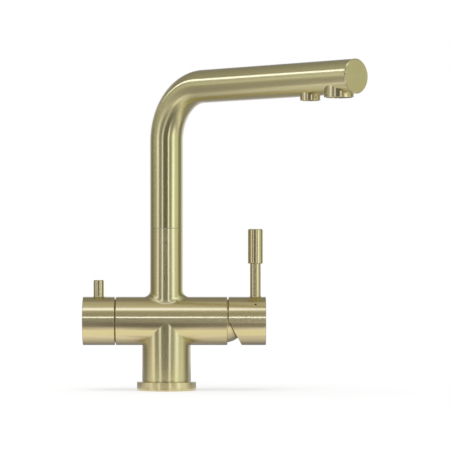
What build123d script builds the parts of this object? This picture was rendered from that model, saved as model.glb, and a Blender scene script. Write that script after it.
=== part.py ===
from build123d import *
import math
import os

# Three way filtered water tap: a mixer handle on the right, a filtered water knob on the left
# and a swivelling spout with two separate outlets. Millimetres, +Z up. The origin is the centre
# of the flange's underside, on the deck. +X points to the mixer handle and -Y to the user.

# ---- Outside of the tap -----------------------------------------------------------------------
body_radius = 21.0            # column and crossbar
body_wall = 3.4
crossbar_height = 60.0        # crossbar axis above the deck
left_arm = 43.65              # column axis to the crossbar's left end
right_arm = 52.6              # column axis to the crossbar's right end
gap_chamfer = 0.5             # on the facing edges of crossbar, knob and handle
end_chamfer = 0.3             # on the outer ends of knob and handle
handle_gap = 0.8              # between the crossbar and the mixer handle
knob_gap = 0.7                # between the crossbar and the knob
tube_radius = 14.15           # neck and spout
tube_wall = 1.2
neck_wall = 2.0
neck_fillet = 5.5
seam_height = 139.6           # neck to swivelling spout
arm_height = 260.4            # axis of the spout's arm
bend_radius = 45.0
spout_reach = 221.2           # column axis to the arm's end face
spout_angle = -45.0           # where the spout is parked, turned from +X towards the user

flange_radius = 25.5
flange_height = 7.5
flange_chamfer = 0.3
spigot_wall = 2.4             # the column's foot inside the flange
spigot_lift = 2.0             # the foot stops short of the deck
seal_groove_wall = 1.5        # flange rim outside the rubber seal
seal_width = 3.0
seal_depth = 2.0

# ---- Fits and gaps -----------------------------------------------------------------------------
seat_gap = 0.05               # between pieces that are screwed, pressed or brazed together
running_gap = 0.05            # radial, on everything that turns in a bore
moving_gap = 0.3              # between moving pieces that don't guide each other
disc_gap = 0.1                # between the ceramic discs of a pair
loose_gap = 0.3               # radial, round pieces that only have to go in

# ---- Base plug, hose ports and pipes -----------------------------------------------------------
plug_lift = 1.2
plug_height = 20.0
port_circle = 10.0            # hose ports about the column axis
port_spread = 40.0            # hot and cold ports either side of +X, degrees
port_radius = 4.5             # M10 x 1 thread's wall
port_depth = 12.0
stud_circle = 12.5
stud_spread = 90.0
stud_radius = 2.5             # M6 thread's wall
stud_depth = 14.0
pipe_radius = 4.0
pipe_wall = 1.0
pipe_socket = 5.0             # how far a pipe goes into what it feeds
riser_offset = 6.8            # of the two risers from the column axis
filter_riser_radius = 3.0
riser_stop = 1.0              # the risers end this far below the well's floor

# ---- Mixer valve, along the crossbar -----------------------------------------------------------
mixer_seat_start = 2.0
mixer_seat_length = 12.0
mixer_port_drop = 6.5         # hot and cold ports below the crossbar axis
mixer_outlet_rise = 8.0       # mixed port above it
port_bore = 2.8
cartridge_base_length = 4.0
cartridge_wall = 1.8
housing_shoulder = 1.0        # between the cartridge's cup and its collar
fixed_disc_thickness = 3.0
moving_disc_thickness = 4.0
moving_disc_radius = 10.8
mixing_pocket_radius = 5.5
mixing_pocket_depth = 2.0
rotor_radius = 10.95
rotor_flange_thickness = 2.0
collar_wall = 2.0
collar_stand = 3.6            # collar and rotor beyond the tilt pin
nut_length = 5.3
dome_seat_depth = 3.0         # the dome's seat inside the crossbar's end
dome_skirt = 0.4
dome_wall = 1.0
dome_opening = 43.0           # half angle of the hole for the spindle, degrees
spindle_width = 7.0           # square
slot_gap = 0.15
slot_half_height = 7.2
spindle_back = 4.2            # square part behind the tilt pin
spindle_ball_arm = 10.5       # tilt pin to the ball that drives the disc
spindle_ball_radius = 2.5
spindle_tail_radius = 1.9
spindle_pin_radius = 1.5
spindle_pin_half = 8.5
port_seal_wall = 1.2
port_seal_depth = 1.0
nut_slot_width = 4.0
nut_slot_depth = 2.0

# ---- Mixer handle ------------------------------------------------------------------------------
handle_length = 32.4
handle_wall = 1.2
handle_end = 2.4
handle_cut_angle = 28.0       # of the undercut that lets the handle tilt
handle_cut_rise = 0.9         # where the undercut starts, above the axis
dome_gap = 1.0                # between the dome and the handle's bore
hub_radius = 8.0
hub_length = 13.5
socket_depth = 9.6
lever_from_end = 9.0          # lever axis from the handle's end face
lever_stem_radius = 4.65
lever_stem_top = 49.4         # above the crossbar axis
lever_spigot_radius = 2.5
stem_root = 0.8               # fillet at the foot of the lever and of the knob's pin
spigot_clearance = 1.0        # spigots end this far from the spindle
grip_radius = 6.5
grip_length = 29.8
grip_chamfer = 0.5
grip_socket = 10.0
mark_radius = 0.9
mark_depth = 0.6
mark_angle = 43.0             # above the horizontal, on the front and the back
grub_radius = 2.5
grub_length = 4.0
grub_socket_radius = 1.25

# ---- Filtered water valve and knob -------------------------------------------------------------
knob_length = 27.7
knob_wall = 2.0
knob_end = 3.0
pin_from_end = 13.5           # pin axis from the knob's end face
pin_radius = 4.5
pin_top = 35.2                # above the crossbar axis
filter_seat_start = 3.0       # left of the column axis
filter_seat_length = 12.0
filter_port_offset = 6.0      # inlet below and outlet above the axis
filter_port_bore = 2.4
valve_radius = 11.5
valve_wall = 2.0
valve_flange_length = 3.0
valve_neck_radius = 8.0
valve_neck_length = 7.0       # beyond the chamber, with the spindle's bore
valve_nut_length = 6.0
valve_nut_recess = 1.0        # nut inside the crossbar's end
valve_chamber_length = 12.0
filter_disc_thickness = 3.0
filter_spindle_radius = 4.0
filter_square = 5.4
filter_socket_depth = 14.5

# ---- Neck and spout ----------------------------------------------------------------------------
socket_lift = 2.4             # neck socket above the crossbar's bore
socket_floor = 10.0
socket_well_depth = 5.5
socket_mixed_bore = 2.2
socket_cross_bore = 1.5
chamber_gap = 2.0             # mixed water chamber under the hub
hub_bore_wall = 2.0           # wall of the neck socket
hub_stub_radius = 4.0
hub_filtered_bore = 2.0
hub_mixed_bore = 1.7
hub_mixed_circle = 6.3
hub_mixed_count = 6
hub_head_length = 14.0        # brazed into the spout's foot
hub_seal_width = 2.4
hub_seal_depth = 1.6
hub_seal_heights = (8.0, 17.0)        # above the hub's foot
retainer_drop = 12.0          # retaining screw below the seam
retainer_groove_depth = 1.2
retainer_radius = 2.0
retainer_inset = 0.4          # the screw's end inside the neck's face
retainer_socket_depth = 1.5
glide_thickness = 0.4
glide_inset = 0.5             # dark line between neck and spout
end_cap_thickness = 2.0
end_cap_spigot = 5.0
end_cap_chamfer = 0.6
end_cap_relief = 1.0          # of its spigot, round the main collar

main_outlet_inset = 6.8       # arm's end face to the main collar
main_collar_radius = 12.2
main_collar_drop = 2.35       # collar below the tube
main_collar_wall = 1.5
outlet_gap = 11.4             # between the two collars
filter_collar_radius = 8.4
filter_collar_drop = 3.5
filter_collar_wall = 1.3
aerator_lip = 1.4
aerator_inset = 0.5           # housings inside their collars
aerator_height = 9.0
grid_thickness = 1.6
grid_inset = 0.6
grid_pitch = 2.3              # honeycomb, cell to cell
grid_web = 0.45
hose_radius = 3.0
hose_bore = 2.0
hose_drop_radius = 7.0        # where the hose turns down into the filtered outlet

# ---- Derived places ----------------------------------------------------------------------------
bore_radius = body_radius - body_wall
spigot_radius = bore_radius + spigot_wall
plug_radius = bore_radius - seat_gap
plug_top = plug_lift + plug_height
neck_bore = tube_radius - neck_wall
socket_floor_height = crossbar_height + bore_radius + socket_lift
inner_tube = tube_radius - tube_wall
spout_foot = seam_height + glide_thickness
arm_floor = arm_height - tube_radius
main_outlet_reach = spout_reach - main_outlet_inset - main_collar_radius
filter_outlet_reach = main_outlet_reach - main_collar_radius - outlet_gap - filter_collar_radius
mixer_seat_end = mixer_seat_start + mixer_seat_length
dome_seat = right_arm - dome_seat_depth
pivot = dome_seat + dome_skirt
nut_start = dome_seat - nut_length
cartridge_radius = bore_radius - loose_gap
cartridge_bore = cartridge_radius - cartridge_wall
housing_start = mixer_seat_end + cartridge_base_length
collar_radius = rotor_radius + running_gap + collar_wall
fixed_disc_end = housing_start + fixed_disc_thickness
moving_disc_start = fixed_disc_end + disc_gap
moving_disc_end = moving_disc_start + moving_disc_thickness
rotor_flange_start = nut_start - housing_shoulder - rotor_flange_thickness
collar_end = pivot + collar_stand
handle_start = right_arm + handle_gap
handle_finish = handle_start + handle_length
handle_bore = body_radius - handle_wall
dome_radius = handle_bore - dome_gap
hub_start = handle_finish - hub_length - handle_end
lever_x = handle_finish - lever_from_end
knob_start = left_arm + knob_gap
knob_finish = knob_start + knob_length
knob_bore = body_radius - knob_wall
pin_x = knob_finish - pin_from_end
filter_seat_end = filter_seat_start + filter_seat_length
valve_chamber_end = filter_seat_end + valve_flange_length + valve_chamber_length
valve_end = valve_chamber_end + valve_neck_length
hub_foot = socket_floor_height + socket_floor + chamber_gap
socket_bore = neck_bore - seat_gap - hub_bore_wall
hub_shaft = socket_bore - running_gap
port_seal_radius = port_bore + port_seal_wall


# ---- Helpers -----------------------------------------------------------------------------------
def rod(radius, start, end):
    """A round bar between two points."""
    start, end = Vector(start), Vector(end)
    return Solid.make_cylinder(radius, (end - start).length, Plane(origin=start, z_dir=end - start))


def bar(radius, start, end):
    """A round bar along the crossbar's axis, between two places on X."""
    return rod(radius, (start, 0, crossbar_height), (end, 0, crossbar_height))


def post(radius, bottom, top, x=0.0, y=0.0):
    """An upright round bar."""
    return rod(radius, (x, y, bottom), (x, y, top))


def turned(axis, *profile):
    """A lathe part from its half section: (along, radius) points, about a horizontal or upright axis."""
    if axis == "x":
        points = [(along, 0, crossbar_height + radius) for along, radius in profile]
        spin = Axis((0, 0, crossbar_height), (1, 0, 0))
    else:
        points = [(radius, 0, along) for along, radius in profile]
        spin = Axis.Z
    return revolve(make_face(Polyline(*points, close=True)), axis=spin).solid()


def tube_x(outer, inner, start, end):
    """A plain ring along the crossbar's axis."""
    return turned("x", (start, inner), (start, outer), (end, outer), (end, inner))


def tube_z(outer, inner, bottom, top):
    """A plain upright ring."""
    return turned("z", (bottom, inner), (bottom, outer), (top, outer), (top, inner))


def block(low, high):
    """A square block between two corners."""
    size = [b - a for a, b in zip(low, high)]
    return Pos(*low) * Box(*size, align=(Align.MIN, Align.MIN, Align.MIN)).solid()


def on_circle(radius, degrees):
    """A place on a circle about the column axis."""
    return radius * math.cos(math.radians(degrees)), radius * math.sin(math.radians(degrees))


def cup(start, end, outer, inner, floor):
    """A turned cup along the crossbar, open at start and closed at end, with chamfered edges."""
    way = 1 if end > start else -1
    mouth, edge, wall = way * gap_chamfer, way * end_chamfer, way * floor
    return turned("x", (start, inner), (start, outer - gap_chamfer), (start + mouth, outer),
                  (end - edge, outer), (end, outer - end_chamfer), (end, 0), (end - wall, 0),
                  (end - wall, inner))


hot_x, cold_y = on_circle(port_circle, port_spread)
hose_ports = {"hot": (hot_x, -cold_y), "cold": (hot_x, cold_y), "filtered": (-port_circle, 0.0)}
stud_holes = [on_circle(stud_circle, side * stud_spread) for side in (1, -1)]


# ---- Body and base -----------------------------------------------------------------------------
def tap_body():
    """The brass body: a column, a crossbar of the same diameter and a slimmer neck, bored out."""
    crossbar = bar(body_radius, -left_arm, right_arm)
    crossbar = chamfer(crossbar.edges().filter_by(GeomType.CIRCLE), gap_chamfer)
    body = crossbar + post(body_radius, flange_height, crossbar_height)
    body += post(tube_radius, crossbar_height, seam_height)
    roots = body.edges().filter_by(
        lambda edge: edge.bounding_box().min.Z > crossbar_height + body_radius / 2
        and edge.bounding_box().max.Z < seam_height - 1 and abs(edge.center().X) < tube_radius
        and edge.bounding_box().size.Z > 0.5)
    body = fillet(roots, neck_fillet)
    body += post(spigot_radius, spigot_lift, flange_height + 1)
    body -= bar(bore_radius, -left_arm - 1, right_arm + 1)
    body -= bar(dome_radius + seat_gap, dome_seat, right_arm + 1)
    body -= post(bore_radius, 0, crossbar_height)
    body -= post(neck_bore, crossbar_height, seam_height + 1)
    return body - retaining_hole()


def retaining_hole():
    """The hole at the back of the neck for the screw that holds the spout down."""
    height = seam_height - retainer_drop
    return rod(retainer_radius + seat_gap, (0, hub_shaft - retainer_groove_depth, height),
               (0, tube_radius + 1, height))


def base_flange():
    """The round foot that hides the hole in the deck, with a groove for its rubber seal."""
    edge = flange_chamfer
    ring = turned("z", (0, spigot_radius + seat_gap), (0, flange_radius - edge),
                  (edge, flange_radius), (flange_height - edge, flange_radius),
                  (flange_height, flange_radius - edge), (flange_height, spigot_radius + seat_gap))
    outer = flange_radius - seal_groove_wall
    return ring - tube_z(outer, outer - seal_width, 0, seal_depth)


def base_seal():
    outer = flange_radius - seal_groove_wall - seat_gap
    return tube_z(outer, outer - seal_width + 2 * seat_gap, 0, seal_depth - seat_gap)


def base_plug():
    """The plug that closes the column, with three threaded hose ports and two stud holes."""
    plug = post(plug_radius, plug_lift, plug_top)
    for x, y in hose_ports.values():
        plug -= post(port_radius, plug_lift, plug_lift + port_depth, x, y)
        plug -= post(pipe_radius - pipe_wall, plug_lift, plug_top, x, y)
        plug -= post(pipe_radius + seat_gap, plug_top - pipe_socket, plug_top, x, y)
    for x, y in stud_holes:
        plug -= post(stud_radius, plug_lift, plug_lift + stud_depth, x, y)
    return plug


def pipe(x, y, bottom, top, radius):
    return (post(radius, bottom, top, x, y) - post(radius - pipe_wall, bottom, top, x, y)).solid()


def feed_top(y):
    """Where a feed pipe ends, inside the valve seat it feeds."""
    return crossbar_height - math.sqrt((bore_radius - seat_gap) ** 2 - y ** 2) + pipe_socket


def feed_pipe(port):
    x, y = hose_ports[port]
    return pipe(x, y, plug_top - pipe_socket, feed_top(y), pipe_radius)


riser_foot = crossbar_height + bore_radius - seat_gap - pipe_socket
riser_top = socket_floor_height + socket_floor - socket_well_depth - riser_stop


def mixer_seat():
    """Carries hot and cold water to the cartridge and mixed water up to the neck."""
    seat = bar(bore_radius - seat_gap, mixer_seat_start, mixer_seat_end)
    low = crossbar_height - mixer_port_drop
    for y in (-cold_y, cold_y):
        seat -= post(pipe_radius + seat_gap, 0, feed_top(y), hot_x, y)
        seat -= post(port_bore, 0, low, hot_x, y)
        seat -= rod(port_bore, (hot_x, y, low), (mixer_seat_end + 1, y, low))
    high = crossbar_height + mixer_outlet_rise
    seat -= rod(port_bore, (riser_offset, 0, high), (mixer_seat_end + 1, 0, high))
    seat -= post(port_bore, high, seam_height, riser_offset)
    return seat - post(pipe_radius + seat_gap, riser_foot, seam_height, riser_offset)


def filter_valve_seat():
    """Carries filtered water to its own valve and on to the neck, apart from the mains water."""
    seat = bar(bore_radius - seat_gap, -filter_seat_end, -filter_seat_start)
    low, high = crossbar_height - filter_port_offset, crossbar_height + filter_port_offset
    seat -= post(pipe_radius + seat_gap, 0, feed_top(0), -port_circle)
    seat -= post(filter_port_bore, 0, low, -port_circle)
    seat -= rod(filter_port_bore, (-port_circle, 0, low), (-filter_seat_end - 1, 0, low))
    seat -= rod(filter_port_bore, (-riser_offset, 0, high), (-filter_seat_end - 1, 0, high))
    seat -= post(filter_riser_radius - pipe_wall, high, seam_height, -riser_offset)
    return seat - post(filter_riser_radius + seat_gap, riser_foot, seam_height, -riser_offset)


# ---- Mixer cartridge ---------------------------------------------------------------------------
def port_places():
    """The hot, cold and mixed ports across the cartridge: (Y, height)."""
    low = crossbar_height - mixer_port_drop
    return [(-cold_y, low), (cold_y, low), (0.0, crossbar_height + mixer_outlet_rise)]


def pierced(disc, start, end):
    for y, height in port_places():
        disc -= rod(port_bore, (start - 1, y, height), (end + 1, y, height))
    return disc


def cartridge_base():
    """The cartridge's foot, with a seal's recess round each port."""
    base = pierced(bar(cartridge_radius, mixer_seat_end, housing_start), mixer_seat_end, housing_start)
    for y, height in port_places():
        base -= rod(port_seal_radius + seat_gap, (mixer_seat_end, y, height),
                    (mixer_seat_end + port_seal_depth, y, height))
    return base


def port_seals():
    """Three rubber seals under the cartridge."""
    seals = []
    for y, height in port_places():
        ends = (mixer_seat_end, y, height), (mixer_seat_end + port_seal_depth, y, height)
        seals.append(rod(port_seal_radius, *ends) - rod(port_bore, *ends))
    return seals


def cartridge_housing():
    """A moulded cup with a slimmer collar in which the rotor turns."""
    inside = rotor_radius + running_gap
    return turned("x", (housing_start, cartridge_bore), (housing_start, cartridge_radius),
                  (nut_start, cartridge_radius), (nut_start, collar_radius),
                  (collar_end, collar_radius), (collar_end, inside), (nut_start - housing_shoulder, inside),
                  (nut_start - housing_shoulder, cartridge_bore))


def fixed_ceramic_disc():
    disc = bar(cartridge_bore - seat_gap, housing_start, fixed_disc_end)
    return pierced(disc, housing_start, fixed_disc_end)


def moving_ceramic_disc():
    """Slides and turns on the fixed disc; its pocket joins the ports when the lever is lifted."""
    disc = bar(moving_disc_radius, moving_disc_start, moving_disc_end)
    return disc - bar(mixing_pocket_radius, moving_disc_start, moving_disc_start + mixing_pocket_depth)


def disc_carrier():
    """Holds the moving disc and takes the spindle's ball in a blind pocket."""
    end = rotor_flange_start - moving_gap
    pocket = pivot - spindle_ball_arm - spindle_ball_radius - moving_gap
    carrier = bar(moving_disc_radius, moving_disc_end, end)
    return carrier - bar(spindle_ball_radius + moving_gap, pocket, end + 1)


def cartridge_rotor():
    """Turns with the lever to mix; the spindle tilts in its slot."""
    rotor = turned("x", (rotor_flange_start, 0), (rotor_flange_start, cartridge_bore - moving_gap),
                   (rotor_flange_start + rotor_flange_thickness, cartridge_bore - moving_gap),
                   (rotor_flange_start + rotor_flange_thickness, rotor_radius),
                   (collar_end, rotor_radius), (collar_end, 0))
    half = spindle_width / 2 + slot_gap
    rotor -= block((rotor_flange_start - 1, -half, crossbar_height - slot_half_height),
                   (collar_end + 1, half, crossbar_height + slot_half_height))
    return rotor - spindle_pin(seat_gap)


def spindle_pin(gap=0.0):
    """The cross pin that the spindle tilts on; a gap gives the hole for it."""
    reach = spindle_pin_half + gap
    return rod(spindle_pin_radius + gap, (pivot, -reach, crossbar_height), (pivot, reach, crossbar_height))


def mixer_spindle():
    """A square bar on the tilt pin, with a ball tail that drives the disc carrier."""
    half = spindle_width / 2
    start = pivot - spindle_back
    end = hub_start + socket_depth - seat_gap
    spindle = block((start, -half, crossbar_height - half), (end, half, crossbar_height + half))
    ball = pivot - spindle_ball_arm
    spindle += bar(spindle_tail_radius, ball, start + 1)
    spindle += Pos(ball, 0, crossbar_height) * Sphere(spindle_ball_radius).solid()
    return spindle - spindle_pin(running_gap)


def cartridge_nut():
    """The slotted ring nut that clamps the cartridge in the crossbar."""
    nut = tube_x(bore_radius - seat_gap, collar_radius + seat_gap, nut_start, dome_seat)
    for turn in range(4):
        slot = block((dome_seat - nut_slot_depth, collar_radius - 1, crossbar_height - nut_slot_width / 2),
                     (dome_seat + 1, body_radius, crossbar_height + nut_slot_width / 2))
        nut -= slot.rotate(Axis((0, 0, crossbar_height), (1, 0, 0)), 90 * turn + 45)
    return nut


def dome_cover():
    """The polished dome that shows under the handle's undercut and closes the crossbar's end."""
    inner = dome_radius - dome_wall
    mouth, half = math.radians(dome_opening), math.radians((90 + dome_opening) / 2)

    def place(radius, angle):
        return pivot + radius * math.cos(angle), 0, crossbar_height + radius * math.sin(angle)

    foot_out, foot_in = (dome_seat, 0, crossbar_height + dome_radius), (dome_seat, 0, crossbar_height + inner)
    side_out, lip = place(dome_radius, math.pi / 2), place(dome_radius, mouth)
    section = make_face([
        ThreePointArc(side_out, place(dome_radius, half), lip),
        Polyline(lip, place(inner, mouth), place(inner, half), place(inner, math.pi / 2), foot_in,
                 foot_out, side_out)])
    return revolve(section, axis=Axis((0, 0, crossbar_height), (1, 0, 0))).solid()


# ---- Mixer handle ------------------------------------------------------------------------------
def square_socket(width, start, end):
    half = width / 2 + seat_gap
    low, high = sorted((start, end))
    return block((low, -half, crossbar_height - half), (high, half, crossbar_height + half))


def grub_hole(x, hub, handle_radius, square):
    """A threaded hole in the hub and a wider way to it through the back of the handle."""
    inner = rod(grub_radius + seat_gap, (x, square / 2, crossbar_height), (x, hub, crossbar_height))
    return inner + rod(grub_radius + loose_gap, (x, hub, crossbar_height),
                       (x, handle_radius + 1, crossbar_height))


def grub_screw(x, square):
    """A socket set screw that bears on the flat of a square spindle."""
    start = square / 2 + seat_gap
    screw = rod(grub_radius, (x, start, crossbar_height), (x, start + grub_length, crossbar_height))
    hexagon = Plane((x, start + grub_length, crossbar_height), z_dir=(0, 1, 0)) * RegularPolygon(
        grub_socket_radius, 6)
    return screw - extrude(hexagon, -grub_length / 2).solid()


def undercut():
    """The wedge cut away under the handle, so that it clears the crossbar when it tilts."""
    lean = math.tan(math.radians(handle_cut_angle))
    top, low = handle_cut_rise, -body_radius - 2
    corners = [(right_arm, 0, crossbar_height + top), (handle_start, 0, crossbar_height + top),
               (handle_start + (top - low) * lean, 0, crossbar_height + low),
               (right_arm, 0, crossbar_height + low)]
    face = make_face(Polyline(*corners, close=True))
    return extrude(face, body_radius + 1, both=True).solid()


mixer_grub_x = hub_start + socket_depth / 2


def mark(side, gap=0.0):
    """A round enamel dot let into the handle: -1 is the front, 1 the back."""
    out = Vector(0, side * math.cos(math.radians(mark_angle)), math.sin(math.radians(mark_angle)))
    centre = Vector(lever_x, 0, crossbar_height)
    dot = rod(mark_radius + gap, centre + out * (body_radius - mark_depth - gap),
              centre + out * (body_radius + 1))
    return dot & bar(body_radius, handle_start, handle_finish) if gap == 0 else dot


def mixer_handle_cap():
    """The hollow handle: a turned cup with a hub for the spindle and an undercut mouth."""
    cap = cup(handle_start, handle_finish, body_radius, handle_bore, handle_end)
    cap += bar(hub_radius, hub_start, handle_finish - handle_end / 2)
    cap -= square_socket(spindle_width, hub_start - 1, hub_start + socket_depth)
    cap -= undercut()
    cap -= rod(lever_spigot_radius + seat_gap, (lever_x, 0, spigot_foot(spindle_width / 2)),
               (lever_x, 0, crossbar_height + body_radius + 1))
    cap -= grub_hole(mixer_grub_x, hub_radius, body_radius, spindle_width)
    for side in (-1, 1):
        cap -= mark(side, seat_gap)
    return cap.solid()


def spigot_foot(spindle_half):
    """A lever's spigot is screwed in this far, just clear of the spindle."""
    return crossbar_height + spindle_half + spigot_clearance


def stem(x, radius, top, spindle_half, handle_radius):
    """A round stem saddled on its handle, with a spigot screwed through into the hub."""
    joined = bar(handle_radius, x - 2 * radius, x + 2 * radius)
    joined += post(radius, crossbar_height + handle_radius / 2, top, x)
    foot = joined.edges().filter_by(
        lambda edge: edge.bounding_box().size.Z > 0.1 and edge.bounding_box().size.X < 2.5 * radius
        and edge.bounding_box().min.Z > crossbar_height + handle_radius / 2)
    upper = fillet(foot, stem_root) - bar(handle_radius + seat_gap, x - 3 * radius, x + 3 * radius)
    spigot = post(lever_spigot_radius, spigot_foot(spindle_half) + seat_gap,
                  crossbar_height + handle_radius + 2, x)
    return (upper + spigot).solid()


def lever_stem():
    """The slim stem of the mixer lever, with a spigot at its top for the grip."""
    top = crossbar_height + lever_stem_top
    lever = stem(lever_x, lever_stem_radius, top, spindle_width / 2, body_radius)
    return lever + post(lever_spigot_radius, top - 1, top + grip_socket - 1, lever_x)


def lever_grip():
    """The thicker round grip at the lever's end."""
    foot = crossbar_height + lever_stem_top
    edge = grip_chamfer
    grip = turned("z", (foot, 0), (foot, grip_radius - edge), (foot + edge, grip_radius),
                  (foot + grip_length - edge, grip_radius), (foot + grip_length, grip_radius - edge),
                  (foot + grip_length, 0))
    grip -= post(lever_spigot_radius + seat_gap, foot, foot + grip_socket)
    return Pos(lever_x, 0, 0) * grip


# ---- Filtered water valve and knob -------------------------------------------------------------
def filter_valve_body():
    """The brass headwork: a flange on the seat, a chamber for the discs and a neck for the spindle."""
    chamber = valve_radius - valve_wall
    return turned("x", (-filter_seat_end, chamber), (-filter_seat_end, cartridge_radius),
                  (-filter_seat_end - valve_flange_length, cartridge_radius),
                  (-filter_seat_end - valve_flange_length, valve_radius),
                  (-valve_chamber_end - valve_wall, valve_radius),
                  (-valve_chamber_end - valve_wall, valve_neck_radius), (-valve_end, valve_neck_radius),
                  (-valve_end, filter_spindle_radius + running_gap),
                  (-valve_chamber_end, filter_spindle_radius + running_gap), (-valve_chamber_end, chamber))


def filter_valve_nut():
    """The ring nut that holds the headwork in the crossbar."""
    start = -left_arm + valve_nut_recess
    nut = tube_x(bore_radius - seat_gap, valve_neck_radius + seat_gap, start, start + valve_nut_length)
    return nut


def filter_disc(start, radius):
    """A ceramic disc with two ports, above and below the axis."""
    disc = bar(radius, start, start - filter_disc_thickness)
    for side in (-1, 1):
        height = crossbar_height + side * filter_port_offset
        disc -= rod(filter_port_bore, (start + 1, 0, height), (start - filter_disc_thickness - 1, 0, height))
    return disc


def filter_fixed_disc():
    return filter_disc(-filter_seat_end, valve_radius - valve_wall - seat_gap)


moving_filter_disc_start = filter_seat_end + filter_disc_thickness + disc_gap


def filter_moving_disc():
    """Turned a quarter by the knob; shut at rest, so its ports lie across the fixed ones."""
    disc = filter_disc(-moving_filter_disc_start, valve_radius - valve_wall - moving_gap)
    return disc.rotate(Axis((0, 0, crossbar_height), (1, 0, 0)), 90)


def filter_spindle():
    """The brass spindle: a driver on the disc, a round shaft in the neck and a square for the knob."""
    start = -moving_filter_disc_start - filter_disc_thickness
    shoulder = -valve_chamber_end + moving_gap
    end = -knob_finish + knob_end + 2 * moving_gap
    square_end = end + filter_socket_depth - moving_gap
    spindle = bar(valve_radius - valve_wall - moving_gap, shoulder, start)
    spindle += bar(filter_spindle_radius, square_end, start)
    half = filter_square / 2
    spindle += block((end, -half, crossbar_height - half), (square_end + 1, half, crossbar_height + half))
    return spindle.solid()


filter_grub_x = -knob_finish + knob_end + filter_socket_depth / 2


def filter_knob_cap():
    """The hollow knob of the filtered water side, with a hub for its spindle."""
    cap = cup(-knob_start, -knob_finish, body_radius, knob_bore, knob_end)
    inner = -knob_finish + knob_end + filter_socket_depth
    cap += bar(hub_radius, inner, -knob_finish + knob_end / 2)
    cap -= square_socket(filter_square, -knob_finish + knob_end, inner + 1)
    cap -= rod(lever_spigot_radius + seat_gap, (-pin_x, 0, spigot_foot(filter_spindle_radius)),
               (-pin_x, 0, crossbar_height + body_radius + 1))
    cap -= grub_hole(filter_grub_x, hub_radius, body_radius, filter_square)
    return cap.solid()


def filter_knob_pin():
    """The short round pin that the knob is turned by."""
    top = crossbar_height + pin_top
    pin = stem(-pin_x, pin_radius, top, filter_spindle_radius, body_radius)
    rim = pin.edges().filter_by(lambda edge: abs(edge.center().Z - top) < 0.01)
    return chamfer(rim, grip_chamfer)


# ---- Neck and swivel ---------------------------------------------------------------------------
def neck_socket():
    """The fixed sleeve in the neck: mixed water fills its chamber, filtered water its well."""
    outer = neck_bore - seat_gap
    floor = socket_floor_height + socket_floor
    well = floor - socket_well_depth
    socket = turned("z", (socket_floor_height, 0), (socket_floor_height, outer), (seam_height, outer),
                    (seam_height, socket_bore), (floor, socket_bore), (floor, 0))
    socket -= post(hub_stub_radius + running_gap, well, floor + 1)
    socket -= post(pipe_radius + seat_gap, 0, riser_top, riser_offset)
    socket -= post(socket_mixed_bore, riser_top, floor + 1, riser_offset)
    socket -= post(filter_riser_radius + seat_gap, 0, riser_top, -riser_offset)
    level = well + 2 * socket_cross_bore
    socket -= post(socket_cross_bore, riser_top, level, -riser_offset)
    socket -= rod(socket_cross_bore, (-riser_offset, 0, level), (0, 0, level))
    return (socket - retaining_hole()).solid()


def spout_hub():
    """Turns in the neck: filtered water up the middle, mixed water through the holes round it."""
    head = spout_foot + hub_head_length
    stub = hub_foot - chamber_gap - socket_well_depth + moving_gap
    groove = seam_height - retainer_drop
    half = retainer_radius + moving_gap
    profile = [(stub, 0), (stub, hub_stub_radius), (hub_foot, hub_stub_radius), (hub_foot, hub_shaft)]
    for height in hub_seal_heights:
        low = hub_foot + height
        profile += [(low, hub_shaft), (low, hub_shaft - hub_seal_depth),
                    (low + hub_seal_width, hub_shaft - hub_seal_depth), (low + hub_seal_width, hub_shaft)]
    profile += [(groove - half, hub_shaft), (groove - half, hub_shaft - retainer_groove_depth),
                (groove + half, hub_shaft - retainer_groove_depth), (groove + half, hub_shaft),
                (spout_foot, hub_shaft), (spout_foot, inner_tube - seat_gap),
                (head, inner_tube - seat_gap), (head, 0)]
    hub = turned("z", *profile) - post(hub_filtered_bore, stub - 1, head + 1)
    hub -= post(hose_radius + seat_gap, head - pipe_socket, head + 1)
    for step in range(hub_mixed_count):
        x, y = on_circle(hub_mixed_circle, 360 * (step + 0.5) / hub_mixed_count)
        hub -= post(hub_mixed_bore, hub_foot - 1, head + 1, x, y)
    return hub.solid()


def hub_seals():
    """Two lip seals in the hub's grooves."""
    seals = []
    for height in hub_seal_heights:
        low = hub_foot + height + seat_gap
        seals.append(tube_z(hub_shaft, hub_shaft - hub_seal_depth + seat_gap, low,
                            low + hub_seal_width - 2 * seat_gap))
    return seals


def glide_ring():
    """The thin plastic ring that the spout turns on, set in from the neck so that it shows as a line."""
    return tube_z(tube_radius - glide_inset, hub_shaft + running_gap, seam_height,
                  spout_foot - running_gap)


def spout_retaining_screw():
    """A set screw through the back of the neck; its tip stands in the hub's groove."""
    height = seam_height - retainer_drop
    tip = hub_shaft - retainer_groove_depth + moving_gap
    out = tube_radius - retainer_inset
    screw = rod(retainer_radius, (0, tip, height), (0, out, height))
    hexagon = Plane((0, out, height), z_dir=(0, 1, 0)) * RegularPolygon(retainer_radius / 2, 6)
    return screw - extrude(hexagon, -retainer_socket_depth).solid()


# ---- Spout, built along +X and then turned to where it is parked --------------------------------
def bent_tube(radius, bottom, reach):
    """A round tube's envelope along the spout: upright, a quarter bend and the arm."""
    upright = post(radius, bottom, arm_height - bend_radius)
    section = Plane((0, 0, arm_height - bend_radius)) * Circle(radius)
    bend = revolve(section, axis=Axis((bend_radius, 0, arm_height - bend_radius), (0, 1, 0)),
                   revolution_arc=90)
    arm = rod(radius, (bend_radius, 0, arm_height), (reach, 0, arm_height))
    return (upright + bend.solid() + arm).solid()


def parked(shape):
    return shape.rotate(Axis.Z, spout_angle)


tube_end = spout_reach - end_cap_thickness


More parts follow.
